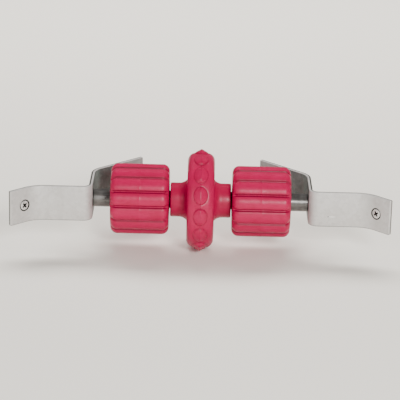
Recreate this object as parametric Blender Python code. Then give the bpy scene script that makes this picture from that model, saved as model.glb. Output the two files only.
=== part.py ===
"""Corner-mounted roller set: two bent strap brackets, a tubular axle and three moulded rubber rollers.

The axle runs along X. -Y is the room side, +Y points into the corner of two walls that meet at a right angle,
and +Z is up. The origin is the centre of the bounding box, so the axle lies AXLE_Y in front of it.
Each bracket is one steel strap, bent so that its outer pad and its inner pad lie flat on the same wall.
"""

import math

import bmesh
import bpy
from mathutils import Matrix, Vector

MM = 0.001
GAP = 0.3 * MM  # between two pieces that touch or run on each other
RIGHT = 1
LEFT = -1

# Strap brackets, seen in plan. Places are those of the strap's middle surface, measured from the axle.
STRAP_WIDTH = 31.75 * MM
STRAP_THICK = 3.2 * MM
RISER_X = 98.0 * MM  # the part that carries the axle
WING_Y = -17.2 * MM  # the part that stands out sideways, in front of the axle
RISER_BACK_Y = 32.8 * MM
PAD_ANGLE = math.radians(45)  # of a wall to the axle
OUTER_PAD_LENGTH = 27.5 * MM
INNER_PAD_LENGTH = 60.0 * MM
OUTER_PAD_BEND = 24.0 * MM
WING_BEND = 7.0 * MM
INNER_PAD_BEND = 20.0 * MM
OUTER_HOLE_FROM_TIP = 15.5 * MM
INNER_HOLE_FROM_TIP = 26.0 * MM
BEND_STEPS = 6

# Axle: a tube held between the brackets by a bolt through its middle.
AXLE_RADIUS = 7.95 * MM
TUBE_BORE = 5.4 * MM
BOLT_RADIUS = 4.8 * MM
BOLT_HOLE = BOLT_RADIUS + 0.5 * MM
BOLT_HEAD_HIGH = 6.4 * MM
HEX_CORNER_RADIUS = 16.0 * MM / math.sqrt(3)  # 16 mm across flats
WASHER_RADIUS = 9.6 * MM
WASHER_THICK = 2.0 * MM
NUT_HIGH = 7.6 * MM
COLLAR_HIGH = 2.6 * MM
COLLAR_RADIUS = 7.2 * MM
NYLON_RADIUS = 6.2 * MM
BOLT_PAST_NUT = 2.2 * MM

# Rollers and the sleeves that they turn on.
RIBS = 14
ROLLER_RADIUS = 31.8 * MM
ROLLER_LONG = 52.0 * MM
ROLLER_X = 54.15 * MM
ROLLER_EDGE = 6.0 * MM
GROOVE_DEEP = 2.0 * MM
GROOVE_SHARE = 0.1  # of the pitch, on each side of a groove's bottom
RIB_DROP = 0.5 * MM  # a rib's side lies this much lower than its crown
SLEEVE_WALL = 2.0 * MM
SLEEVE_INSET = 0.6 * MM
SLEEVE_BORE = AXLE_RADIUS + GAP
ROLLER_BORE = SLEEVE_BORE + SLEEVE_WALL + GAP
LEFT_ROLLER_TURN = math.radians(-3.8)
RIGHT_ROLLER_TURN = math.radians(-2.6)

KNOBS = 14
HUB_LONG = 54.0 * MM
HUB_RADIUS = 15.3 * MM
HUB_EDGE = 1.0 * MM
RIM_WIDE = 24.1 * MM
RIM_RADIUS = 43.3 * MM
RIM_CROWN = 0.9 * MM  # the rim's middle stands this much higher than its shoulders
RIM_SHOULDER = 6.0 * MM
NECK_FILLET = 9.0 * MM
NECK_FILLET_ANGLE = math.radians(52)
KNOB_HIGH = 2.5 * MM
KNOB_HALF_WIDE = 7.2 * MM
KNOB_HALF_LONG = 8.8 * MM
KNOB_TURN = math.radians(23.3)  # of the knob that faces the room, above the horizontal

# Countersunk wood screws, two in each bracket.
SCREW_LONG = 19.0 * MM
SCREW_RADIUS = 2.4 * MM
SCREW_HEAD_RADIUS = 4.8 * MM
SCREW_HEAD_HIGH = 2.7 * MM
SCREW_HEAD_RIM = 0.4 * MM
SCREW_PLAY = 0.4 * MM  # between a screw and its hole
SCREW_POINT = 6.0 * MM
SCREW_TIP_RADIUS = 0.4 * MM
RECESS_LONG = 5.2 * MM
RECESS_WIDE = 1.1 * MM
RECESS_DEEP = 1.5 * MM

# The knobs stand furthest forward and the inner pads' ends furthest back.
INNER_TIP_Y = RISER_BACK_Y + INNER_PAD_LENGTH * math.sin(PAD_ANGLE) + STRAP_THICK / 2 * math.cos(PAD_ANGLE)
AXLE_Y = (RIM_RADIUS + KNOB_HIGH - INNER_TIP_Y) / 2

MATERIALS = {
    "zinc_strap": ((0.56, 0.54, 0.51), 0.42, 1.0),
    "axle_steel": ((0.30, 0.29, 0.28), 0.35, 1.0),
    "bright_zinc": ((0.72, 0.72, 0.70), 0.30, 1.0),
    "red_rubber": ((0.56, 0.050, 0.105), 0.48, 0.0),
    "white_nylon": ((0.80, 0.79, 0.74), 0.50, 0.0),
}


def clear_scene():
    for item in list(bpy.data.objects):
        bpy.data.objects.remove(item)


def material(name):
    """The Principled material of that name, made the first time that it is asked for."""
    found = bpy.data.materials.get(name)
    if found:
        return found
    colour, roughness, metallic = MATERIALS[name]
    made = bpy.data.materials.new(name)
    made.use_nodes = True
    shader = made.node_tree.nodes["Principled BSDF"]
    shader.inputs["Base Color"].default_value = (*colour, 1)
    shader.inputs["Roughness"].default_value = roughness
    shader.inputs["Metallic"].default_value = metallic
    return made


def piece(name, work, finish, parent):
    """Makes the object of a finished bmesh, under parent."""
    bmesh.ops.recalc_face_normals(work, faces=work.faces)
    mesh = bpy.data.meshes.new(name)
    work.to_mesh(mesh)
    work.free()
    mesh.shade_smooth()
    mesh.set_sharp_from_angle(angle=math.radians(35))
    mesh.materials.append(material(finish))
    made = bpy.data.objects.new(name, mesh)
    bpy.context.scene.collection.objects.link(made)
    made.parent = parent
    return made


def holder(name, place, parent=None):
    """An empty that carries pieces: its place is on their joint's axis."""
    made = bpy.data.objects.new(name, None)
    bpy.context.scene.collection.objects.link(made)
    made.location = place
    made.parent = parent
    return made


def cutter(name, work, parent):
    """A shape that only serves a Boolean, and isn't part of the object."""
    made = piece(name, work, "axle_steel", parent)
    made.hide_render = True
    made.display_type = "WIRE"
    return made


def boolean(target, operation, tool):
    modifier = target.modifiers.new(tool.name, "BOOLEAN")
    modifier.operation = operation
    modifier.object = tool
    modifier.solver = "EXACT"


def arc(centre, radius, start, end, steps):
    """Points of a circle's arc in a plane, from one angle to another."""
    points = []
    for i in range(steps + 1):
        angle = start + (end - start) * i / steps
        points.append((centre[0] + radius * math.cos(angle), centre[1] + radius * math.sin(angle)))
    return points


def even_angles(count):
    return [2 * math.pi * i / count for i in range(count)]


def angles_in_pitches(count, shares):
    """The same few angles in each of count equal pitches."""
    pitch = 2 * math.pi / count
    return [pitch * (i + share) for i in range(count) for share in shares]


def add_turned(work, section, angles, shape=None):
    """Adds a closed section of (x, radius) points, swept once round the X axis.

    An angle is measured from the front, upwards. shape(x, radius, angle) gives a point's radius where that
    isn't the same all the way round.
    """
    rings = []
    for angle in angles:
        points = []
        for x, radius in section:
            r = shape(x, radius, angle) if shape else radius
            points.append(work.verts.new((x, -r * math.cos(angle), r * math.sin(angle))))
        rings.append(points)
    for ring, following in zip(rings, rings[1:] + rings[:1]):
        for i in range(len(ring)):
            j = (i + 1) % len(ring)
            work.faces.new((ring[i], ring[j], following[j], following[i]))


def add_ring(work, start, end, outer, bore, count=32):
    """Adds a plain ring along X."""
    add_turned(work, [(start, bore), (start, outer), (end, outer), (end, bore)], even_angles(count))


def add_rod(work, start, end, radius, count):
    """Adds a solid round or, with six sides, hexagonal rod along X."""
    bmesh.ops.create_cone(
        work,
        cap_ends=True,
        segments=count,
        radius1=radius,
        radius2=radius,
        depth=end - start,
        matrix=Matrix.Translation(((start + end) / 2, 0, 0)) @ Matrix.Rotation(math.pi / 2, 4, "Y"),
    )


def add_solid_of_revolution(work, section, count, place):
    """Adds (z, radius) points turned about Z and closed at both ends, put in place by a matrix."""
    rings = []
    for z, radius in section:
        ring = []
        for angle in even_angles(count):
            ring.append(work.verts.new(place @ Vector((radius * math.cos(angle), radius * math.sin(angle), z))))
        rings.append(ring)
    for ring, following in zip(rings, rings[1:]):
        for i in range(count):
            j = (i + 1) % count
            work.faces.new((ring[i], ring[j], following[j], following[i]))
    work.faces.new(rings[0])
    work.faces.new(rings[-1])


# Brackets ---------------------------------------------------------------------------------------------------------


def bent_path(corners, radii):
    """Points and their directions along a line of straight runs, with an arc of the given radius at each bend."""
    path = [(corners[0], (corners[1] - corners[0]).normalized())]
    for before, corner, after, radius in zip(corners, corners[1:], corners[2:], radii):
        arriving = (corner - before).normalized()
        leaving = (after - corner).normalized()
        turn = arriving.angle_signed(leaving)
        start = corner - arriving * radius * math.tan(abs(turn) / 2)
        centre = start + math.copysign(radius, turn) * Vector((arriving.y, -arriving.x))
        for i in range(BEND_STEPS + 1):
            spin = Matrix.Rotation(-turn * i / BEND_STEPS, 2)
            path.append((centre + spin @ (start - centre), spin @ arriving))
    path.append((corners[-1], path[-1][1]))
    return path


def along_wall():
    """Direction of the right-hand wall in plan, out of the corner."""
    return Vector((math.cos(PAD_ANGLE), -math.sin(PAD_ANGLE)))


def strap_corners():
    """The right bracket's middle surface in plan, from its outer tip to its inner tip."""
    wing_out = Vector((RISER_X + (RISER_BACK_Y - WING_Y) / math.tan(PAD_ANGLE), WING_Y))
    riser_back = Vector((RISER_X, RISER_BACK_Y))
    return [
        wing_out + along_wall() * OUTER_PAD_LENGTH,
        wing_out,
        Vector((RISER_X, WING_Y)),
        riser_back,
        riser_back - along_wall() * INNER_PAD_LENGTH,
    ]


def screw_places(side):
    """Where one bracket's outer and inner screws go: +Z out of the strap, and the origin in its room-side face."""
    corners = strap_corners()
    outer = corners[0] - along_wall() * OUTER_HOLE_FROM_TIP
    inner = corners[-1] + along_wall() * INNER_HOLE_FROM_TIP
    out_of_wall = Vector((-side * math.sin(PAD_ANGLE), -math.cos(PAD_ANGLE), 0))
    up = Vector((0, 0, 1))
    turn = Matrix((up.cross(out_of_wall), up, out_of_wall)).transposed().to_4x4()
    places = []
    for seat in (outer, inner):
        face = Vector((side * seat.x, seat.y, 0)) + out_of_wall * STRAP_THICK / 2
        places.append(Matrix.Translation(face) @ turn)
    return places


def add_strap(work, side):
    """Adds the bent strap: its plan outline in quads, raised by the strap's width."""
    half = STRAP_THICK / 2
    path = bent_path(strap_corners(), (OUTER_PAD_BEND, WING_BEND, INNER_PAD_BEND))
    wall_side = [point + half * Vector((way.y, -way.x)) for point, way in path]
    room_side = [point - half * Vector((way.y, -way.x)) for point, way in path]
    lower = [
        [work.verts.new((side * p.x, p.y, -STRAP_WIDTH / 2)) for p in room_side],
        [work.verts.new((side * p.x, p.y, -STRAP_WIDTH / 2)) for p in wall_side],
    ]
    for i in range(len(path) - 1):
        work.faces.new((lower[0][i], lower[0][i + 1], lower[1][i + 1], lower[1][i]))
    raised = bmesh.ops.extrude_face_region(work, geom=work.faces[:])
    upper = [item for item in raised["geom"] if isinstance(item, bmesh.types.BMVert)]
    bmesh.ops.translate(work, vec=(0, 0, STRAP_WIDTH), verts=upper)


def build_bracket(name, side, parent):
    work = bmesh.new()
    add_strap(work, side)
    bracket = piece(name, work, "zinc_strap", parent)

    above = 1.0 * MM
    below = STRAP_THICK + 1.0 * MM
    head = SCREW_HEAD_RADIUS + SCREW_PLAY
    shank = SCREW_RADIUS + SCREW_PLAY
    countersink = [(above, head), (-SCREW_HEAD_RIM, head), (-SCREW_HEAD_HIGH, shank), (-below, shank)]
    holes = bmesh.new()
    for place in screw_places(side):
        add_solid_of_revolution(holes, countersink, 24, place)
    boolean(bracket, "DIFFERENCE", cutter(f"{name}_screw_holes", holes, parent))

    hole = bmesh.new()
    middle = side * RISER_X
    add_rod(hole, middle - STRAP_THICK, middle + STRAP_THICK, BOLT_HOLE, 24)
    boolean(bracket, "DIFFERENCE", cutter(f"{name}_bolt_hole", hole, parent))


def build_wood_screw(name, place, parent):
    """A countersunk screw with two crossed slots in its head."""
    section = [
        (0, SCREW_HEAD_RADIUS),
        (-SCREW_HEAD_RIM, SCREW_HEAD_RADIUS),
        (-SCREW_HEAD_HIGH, SCREW_RADIUS),
        (-SCREW_LONG + SCREW_POINT, SCREW_RADIUS),
        (-SCREW_LONG, SCREW_TIP_RADIUS),
    ]
    work = bmesh.new()
    add_solid_of_revolution(work, section, 20, Matrix())
    screw = piece(name, work, "bright_zinc", parent)
    screw.matrix_local = place
    for slot, long, wide in (("upright_slot", RECESS_WIDE, RECESS_LONG), ("level_slot", RECESS_LONG, RECESS_WIDE)):
        block = bmesh.new()
        bmesh.ops.create_cube(block, size=1, matrix=Matrix.Diagonal((long, wide, 2 * RECESS_DEEP, 1)))
        boolean(screw, "DIFFERENCE", cutter(f"{name}_{slot}", block, screw))


# Axle -------------------------------------------------------------------------------------------------------------


def build_axle(parent):
    tube_end = RISER_X - STRAP_THICK / 2 - GAP
    tube = bmesh.new()
    add_ring(tube, -tube_end, tube_end, AXLE_RADIUS, TUBE_BORE, 40)
    piece("axle_tube", tube, "axle_steel", parent)

    washer_in = RISER_X + STRAP_THICK / 2 + GAP
    washer_out = washer_in + WASHER_THICK
    for name, start, end in (("head_washer", -washer_out, -washer_in), ("nut_washer", washer_in, washer_out)):
        washer = bmesh.new()
        add_ring(washer, start, end, WASHER_RADIUS, BOLT_HOLE)
        piece(name, washer, "bright_zinc", parent)

    head_in = washer_out + GAP
    nut_out = head_in + NUT_HIGH
    collar_out = nut_out + COLLAR_HIGH
    build_bolt(head_in, collar_out + BOLT_PAST_NUT, parent)
    build_lock_nut(head_in, nut_out, collar_out, parent)


def build_bolt(head_in, bolt_out, parent):
    """Hexagon head on the left, and a shank that runs through the tube and the nut."""
    head = bmesh.new()
    add_rod(head, -head_in - BOLT_HEAD_HIGH, -head_in, HEX_CORNER_RADIUS, 6)
    bolt = piece("through_bolt", head, "bright_zinc", parent)
    shank = bmesh.new()
    add_rod(shank, -head_in - BOLT_HEAD_HIGH / 2, bolt_out, BOLT_RADIUS, 32)
    boolean(bolt, "UNION", cutter("through_bolt_shank", shank, parent))


def build_lock_nut(nut_in, nut_out, collar_out, parent):
    """A hexagon nut with a round collar, and the nylon ring that the collar holds."""
    hexagon = bmesh.new()
    add_rod(hexagon, nut_in, nut_out, HEX_CORNER_RADIUS, 6)
    nut = piece("lock_nut", hexagon, "bright_zinc", parent)
    collar = bmesh.new()
    add_rod(collar, (nut_in + nut_out) / 2, collar_out, COLLAR_RADIUS, 24)
    boolean(nut, "UNION", cutter("lock_nut_collar", collar, parent))
    past = 1.0 * MM
    thread = bmesh.new()
    add_rod(thread, nut_in - past, collar_out + past, BOLT_RADIUS + GAP, 24)
    boolean(nut, "DIFFERENCE", cutter("lock_nut_thread", thread, parent))
    seat = bmesh.new()
    add_rod(seat, nut_out, collar_out + past, NYLON_RADIUS + GAP, 24)
    boolean(nut, "DIFFERENCE", cutter("lock_nut_seat", seat, parent))
    nylon = bmesh.new()
    add_ring(nylon, nut_out + GAP, collar_out - GAP, NYLON_RADIUS, BOLT_RADIUS + GAP, 24)
    piece("lock_nut_ring", nylon, "white_nylon", parent)


# Rollers ----------------------------------------------------------------------------------------------------------


def build_sleeve(name, roller_long, parent):
    half = roller_long / 2 - SLEEVE_INSET
    work = bmesh.new()
    add_ring(work, -half, half, SLEEVE_BORE + SLEEVE_WALL, SLEEVE_BORE)
    piece(name, work, "white_nylon", parent)


def fluted_section():
    """Half outline of a fluted roller: bore, ends and rounded rims."""
    half = ROLLER_LONG / 2
    straight = half - ROLLER_EDGE
    rim = ROLLER_RADIUS - ROLLER_EDGE
    left = arc((-straight, rim), ROLLER_EDGE, math.pi, math.pi / 2, 4)
    right = arc((straight, rim), ROLLER_EDGE, math.pi / 2, 0, 4)
    return [(-half, ROLLER_BORE), *left, *right, (half, ROLLER_BORE)]


def flute_shape(x, radius, angle):
    """Lowers the radius at the grooves between ribs, and a little at each rib's sides."""
    share = angle / (2 * math.pi) * RIBS % 1
    from_groove = min(share, 1 - share)
    if from_groove < GROOVE_SHARE / 2:
        return min(radius, ROLLER_RADIUS - GROOVE_DEEP)
    return min(radius, ROLLER_RADIUS - RIB_DROP * (1 - 2 * from_groove) ** 2)


def build_fluted_roller(name, turn, parent):
    angles = angles_in_pitches(RIBS, (0, GROOVE_SHARE, 0.3, 0.5, 0.7, 1 - GROOVE_SHARE))
    work = bmesh.new()
    add_turned(work, fluted_section(), angles, flute_shape)
    roller = piece(name, work, "red_rubber", parent)
    roller.rotation_euler.x = turn


def knob_section():
    """Half outline of the centre roller: hub, neck fillet, flank, shoulder and crowned rim, mirrored."""
    half_hub = HUB_LONG / 2
    half_rim = RIM_WIDE / 2
    neck_x = half_rim + NECK_FILLET * math.sin(NECK_FILLET_ANGLE)
    neck = arc((neck_x, HUB_RADIUS + NECK_FILLET), NECK_FILLET, -math.pi / 2, -math.pi / 2 - NECK_FILLET_ANGLE, 4)
    shoulder_r = RIM_RADIUS - RIM_CROWN - RIM_SHOULDER
    shoulder = arc((half_rim - RIM_SHOULDER, shoulder_r), RIM_SHOULDER, 0, math.radians(72), 3)
    half = [(half_hub, ROLLER_BORE), (half_hub, HUB_RADIUS - HUB_EDGE), (half_hub - HUB_EDGE, HUB_RADIUS)]
    half += neck + shoulder
    for share in (0.75, 0.5, 0.25):
        x = KNOB_HALF_WIDE * share
        half.append((x, RIM_RADIUS - RIM_CROWN * (x / half_rim) ** 2))
    return half + [(0, RIM_RADIUS)] + [(-x, r) for x, r in half[::-1]]


def knob_shape(x, radius, angle):
    """Raises an oval dome at each knob on the rim."""
    if radius < RIM_RADIUS - 2 * RIM_CROWN:
        return radius
    pitch = 2 * math.pi / KNOBS
    along = ((angle / pitch + 0.5) % 1 - 0.5) * pitch * RIM_RADIUS
    away = (x / KNOB_HALF_WIDE) ** 2 + (along / KNOB_HALF_LONG) ** 2
    return radius + KNOB_HIGH * max(0, 1 - away)


def build_knob_roller(parent):
    angles = angles_in_pitches(KNOBS, (0, 0.15, 0.3, 0.45, 0.55, 0.7, 0.85))
    work = bmesh.new()
    add_turned(work, knob_section(), angles, knob_shape)
    roller = piece("centre_knob_roller", work, "red_rubber", parent)
    roller.rotation_euler.x = -KNOB_TURN


# The whole object -------------------------------------------------------------------------------------------------


def build():
    clear_scene()
    axle = holder("axle_line", (0, AXLE_Y, 0))
    for hand, side in (("left", LEFT), ("right", RIGHT)):
        build_bracket(f"{hand}_bracket", side, axle)
        for spot, place in zip(("outer", "inner"), screw_places(side)):
            build_wood_screw(f"{hand}_{spot}_screw", place, axle)
    build_axle(axle)

    left = holder("left_roller_place", (-ROLLER_X, 0, 0), axle)
    build_sleeve("left_sleeve", ROLLER_LONG, left)
    build_fluted_roller("left_fluted_roller", LEFT_ROLLER_TURN, left)

    centre = holder("centre_roller_place", (0, 0, 0), axle)
    build_sleeve("centre_sleeve", HUB_LONG, centre)
    build_knob_roller(centre)

    right = holder("right_roller_place", (ROLLER_X, 0, 0), axle)
    build_sleeve("right_sleeve", ROLLER_LONG, right)
    build_fluted_roller("right_fluted_roller", RIGHT_ROLLER_TURN, right)


build()
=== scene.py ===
"""Corner-mounted roller set: finished surfaces for the brackets, axle, fasteners and rollers.

Lengths are in metres. The axle lies along X, -Y is the room side and +Z is up. Every piece is
built about the axle's centre line and then put in its place, so the same shapes serve the left
and the right. Colours are linear red, green and blue.
"""

import math

import bmesh
import bpy
from mathutils import Matrix, Vector


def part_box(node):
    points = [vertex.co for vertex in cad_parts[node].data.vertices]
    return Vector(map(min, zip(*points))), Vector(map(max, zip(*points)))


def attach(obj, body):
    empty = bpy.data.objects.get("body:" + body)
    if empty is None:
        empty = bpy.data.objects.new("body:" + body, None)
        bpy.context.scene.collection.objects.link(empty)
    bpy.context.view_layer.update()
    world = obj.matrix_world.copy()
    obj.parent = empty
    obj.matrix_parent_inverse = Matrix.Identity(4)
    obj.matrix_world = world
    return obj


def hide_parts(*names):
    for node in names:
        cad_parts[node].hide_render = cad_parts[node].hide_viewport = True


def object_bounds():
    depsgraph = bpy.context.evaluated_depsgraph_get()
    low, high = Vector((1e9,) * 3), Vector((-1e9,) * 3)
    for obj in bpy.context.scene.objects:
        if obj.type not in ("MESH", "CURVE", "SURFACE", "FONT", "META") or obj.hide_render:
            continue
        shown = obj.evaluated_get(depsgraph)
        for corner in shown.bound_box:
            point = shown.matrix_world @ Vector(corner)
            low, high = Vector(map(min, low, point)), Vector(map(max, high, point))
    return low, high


MM = 0.001
LEFT = -1
RIGHT = 1

# View
VIEW_ELEVATION = math.radians(18.5)
VIEW_DISTANCE = 1.70
VIEW_ROLL = math.radians(1.4)
VIEW_ACROSS = 0.359  # width seen at the axle
VIEW_ASIDE = -0.5 * MM
STUDIO_WHITE = (1.0, 0.985, 0.96)
WORLD_STRENGTH = 0.22
FLOOR_HALF = 9.0
FLOOR_GAP = 1.0 * MM
FLOOR_PAINT = (0.92, 0.88, 0.81)

# Strap, as places of its middle surface in plan, measured from the axle
STRAP_WIDTH = 31.75 * MM
STRAP_THICK = 3.2 * MM
STRAP_EDGE = 0.6 * MM
RISER_X = 98.0 * MM
WING_Y = -17.2 * MM
RISER_BACK_Y = 32.8 * MM
PAD_ANGLE = math.radians(45)
OUTER_PAD_LENGTH = 27.5 * MM
INNER_PAD_LENGTH = 60.0 * MM
BENDS = (24.0 * MM, 7.0 * MM, 20.0 * MM)  # radii, from the outer pad inwards
BEND_STEPS = 18
TIP_LONG = 0.4 * MM  # softened length at each tip, and how far it is drawn in
TIP_INSET = 0.35 * MM
OUTER_HOLE_FROM_TIP = 15.5 * MM
INNER_HOLE_FROM_TIP = 26.0 * MM
BOLT_HOLE = 5.3 * MM

# Marks on the straps
WING_PIT_X = 113.7 * MM
WING_PIT_Z = -6.5 * MM
PIT_EDGES = (0.35 * MM, 0.6 * MM)  # full inside the first radius, gone by the second
RUB_EDGES = (0.4 * MM, 1.0 * MM)
RUB_ASIDE = 3.5 * MM
RUB_STRETCH = 0.25
ARC_PITCH = 1.3 * MM
ARC_EDGES = (6 * MM, 13 * MM)
ARC_RISE = 3 * MM
ROLLER_SHADE_EDGES = (14 * MM, 54 * MM)  # painted shade of the rollers on the inner pads: darkest by the riser, and palest from the second on
ROLLER_SHADE_LEAST = 0.62

# Fasteners
SCREW_HEAD = 4.2 * MM
SCREW_SINK = 5.35 * MM
SCREW_SHANK = 2.4 * MM
SCREW_HOLE = 2.8 * MM
SCREW_HEAD_HIGH = 2.7 * MM
SCREW_LONG = 19.0 * MM
SCREW_POINT = 6.0 * MM
SCREW_PITCH = 1.8 * MM
SCREW_ROOT = 1.75 * MM
SCREW_THREAD_DEEP = 0.62 * MM
SCREW_THREAD_START = 4.5 * MM
SCREWS_LEFT_AT = (38, 10, 32, 65)  # degrees
CROSS_LONG = 3.0 * MM
CROSS_WIDE = 0.9 * MM
CROSS_DEEP = 1.6 * MM
BOLT_PITCH = 1.5 * MM
BOLT_ROOT = 4.45 * MM
BOLT_THREAD_DEEP = 0.35 * MM
HEX_FLAT = 8.0 * MM
HEX_AROUND = 72  # a multiple of six, so that the corners fall on points
SCREW_AROUND = 48  # points round a screw's head, and round a drilled hole
TURNED_AROUND = 72
TUBE_AROUND = 96
THREAD_ROWS = 9  # rings for each turn of a thread
SEAT_GAP = 0.3 * MM
NUT_BORE = 5.1 * MM
COLLAR_SEAT = 6.5 * MM
COLLAR_RADIUS = 7.2 * MM
COLLAR_LIP = 1.1 * MM
INSERT_RADIUS = 6.2 * MM

# Axle and sleeves
TUBE_BORE = 5.4 * MM
SLEEVE_THICK = 2.0 * MM
RUNNING_GAP = 0.3 * MM
BORE_LIP = 0.6 * MM

# Fluted rollers
RIBS = 14
ROLLER_RADIUS = 31.8 * MM
ROLLER_EDGE = 6.0 * MM
RIB_DROP = 1.7 * MM
GROOVE_DEEP = 0.8 * MM
GROOVE_HALF_WIDE = 1.6 * MM
GROOVE_FLOOR = 0.3  # flat share of the groove
FLASH_HIGH = 0.10 * MM
FLASH_HALF_WIDE = 0.22 * MM
LEFT_ROLLER_TURN = math.radians(3.8)
RIGHT_ROLLER_TURN = math.radians(2.6)

# Knobbed roller
KNOBS = 14
KNOB_ROWS = 52
KNOB_TURN = math.radians(23.3)
RIM_HALF = 12.05 * MM
RIM_RADIUS = 43.4 * MM
RIM_SHOULDER = 7.0 * MM
RIM_SHOULDER_ANGLE = math.radians(75)
RIM_SLOPE = 0.2
KNOB_HALF_WIDE = 6.3 * MM
KNOB_HALF_LONG = 8.2 * MM
KNOB_HIGH = 2.6 * MM
KNOB_EDGE_HIGH = 0.3 * MM
KNOB_GROOVE_DEEP = 0.15 * MM
KNOB_GROOVE_WIDE = 0.8 * MM
SEAM_HALF_WIDE = 0.3 * MM
SEAM_DEEP = 0.28 * MM
HUB_RADIUS = 15.3 * MM
HUB_EDGE = 1.1 * MM
NECK_FILLET = 9.0 * MM
NECK_FILLET_ANGLE = math.radians(52)
WELD = 0.01 * MM

# Colours, and the span of a noise's values that a mottle runs over
MOTTLE = (0.3, 0.7)
RUBBER_DEEP = (0.355, 0.0005, 0.044)
RUBBER_LIGHT = (0.415, 0.001, 0.058)
RUBBER_CHALKY = (0.53, 0.008, 0.094)
# Painted shade in the rubber's grooves, knob rings and seam
RUBBER_CREVICE_SHADE = (0.16, 0.001, 0.022)
# Painted dark red shade on the tube in the gaps between the rollers
GAP_SHADE_RED = (0.09, 0.001, 0.010)
ZINC_DEEP = (0.545, 0.53, 0.512)
ZINC_LIGHT = (0.635, 0.62, 0.602)
ZINC_SCRATCHED = (0.36, 0.35, 0.335)
ZINC_RUBBED = (0.86, 0.85, 0.83)
# Painted shade of the rollers and risers on the inner pads
ZINC_ROLLER_SHADE = (0.066, 0.098, 0.088)
PIT_DARK = (0.03, 0.03, 0.028)
# Dark narrow sides: a burr on the wall side, and painted shade on the lower side
BURR_AND_SHADE_DARK = (0.045, 0.043, 0.040)
# Painted shade down the countersinks, round the screw heads
SINK_SHADE = (0.012, 0.011, 0.010)
STEEL_DEEP = (0.085, 0.083, 0.079)
STEEL_LIGHT = (0.18, 0.176, 0.168)
STEEL_RUBBED = (0.36, 0.35, 0.34)
PLATE_CLEAN = ((0.74, 0.735, 0.72), (0.88, 0.875, 0.86))
PLATE_GREY = ((0.30, 0.30, 0.29), (0.42, 0.418, 0.405))
# Painted shade in the screws' cross recesses and round their heads' rims
PLATE_CREVICE_SHADE = (0.02, 0.019, 0.018)
NYLON = ((0.70, 0.68, 0.61), (0.80, 0.785, 0.73))


# Frame --------------------------------------------------------------------------------------------


def span(node, axis):
    """Lowest and highest place of a node along one axis."""
    low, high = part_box(node)
    return low[axis], high[axis]


def middle(node, axis):
    low, high = span(node, axis)
    return (low + high) / 2


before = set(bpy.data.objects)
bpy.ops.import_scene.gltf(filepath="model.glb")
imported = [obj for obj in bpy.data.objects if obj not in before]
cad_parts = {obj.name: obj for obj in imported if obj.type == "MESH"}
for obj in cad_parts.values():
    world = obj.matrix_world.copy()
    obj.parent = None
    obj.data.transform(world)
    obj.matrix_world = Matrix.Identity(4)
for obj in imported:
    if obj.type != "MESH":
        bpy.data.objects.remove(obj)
cad_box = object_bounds()
AXLE_Y = middle("axle_tube", 1)
AXLE = Matrix.Translation((0, AXLE_Y, 0))


# Camera, light and floor --------------------------------------------------------------------------


def aim(item, target):
    item.rotation_euler = (Vector(target) - item.location).to_track_quat("-Z", "Y").to_euler()


def add_camera():
    data = bpy.data.cameras.new("view")
    camera = bpy.data.objects.new("view", data)
    bpy.context.scene.collection.objects.link(camera)
    target = Vector((VIEW_ASIDE, AXLE_Y, 0))
    back = Vector((0, -math.cos(VIEW_ELEVATION), math.sin(VIEW_ELEVATION)))
    place = Matrix.Translation(target + back * VIEW_DISTANCE)
    turn = (-back).to_track_quat("-Z", "Y").to_matrix().to_4x4()
    camera.matrix_world = place @ turn @ Matrix.Rotation(VIEW_ROLL, 4, "Z")
    data.lens = data.sensor_width * VIEW_DISTANCE / VIEW_ACROSS
    data.clip_end = 50
    bpy.context.scene.camera = camera


def add_light(name, place, size, power, colour=STUDIO_WHITE, target=(0, 0, 0)):
    data = bpy.data.lights.new(name, "AREA")
    data.shape = "RECTANGLE"
    data.size, data.size_y = size
    data.energy = power
    data.color = colour
    light = bpy.data.objects.new(name, data)
    light.location = place
    aim(light, target)
    bpy.context.scene.collection.objects.link(light)
    return light


def add_lights():
    add_light("key", place=(0.50, -1.75, 0.85), size=(0.45, 0.45), power=42)
    add_light("fill", place=(-1.2, -1.5, 0.75), size=(0.7, 0.7), power=9, colour=(0.97, 0.98, 1.0))
    back = add_light("back", place=(0, 1.1, 1.5), size=(2.4, 0.8), power=66, target=(0, 0.8, 0))
    back.visible_glossy = False
    world = bpy.data.worlds.new("studio")
    world.use_nodes = True
    background = world.node_tree.nodes["Background"]
    background.inputs["Color"].default_value = (*STUDIO_WHITE, 1)
    background.inputs["Strength"].default_value = WORLD_STRENGTH
    bpy.context.scene.world = world


def add_floor():
    mesh = bpy.data.meshes.new("floor")
    half = FLOOR_HALF
    z = cad_box[0][2] - FLOOR_GAP
    corners = [(-half, -half, z), (half, -half, z), (half, half, z), (-half, half, z)]
    mesh.from_pydata(corners, [], [(0, 1, 2, 3)])
    floor = bpy.data.objects.new("floor", mesh)
    bpy.context.scene.collection.objects.link(floor)
    paint = bpy.data.materials.new("pale_floor")
    paint.use_nodes = True
    shader = paint.node_tree.nodes["Principled BSDF"]
    shader.inputs["Base Color"].default_value = (*FLOOR_PAINT, 1)
    shader.inputs["Roughness"].default_value = 0.9
    mesh.materials.append(paint)


# Materials ----------------------------------------------------------------------------------------


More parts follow.
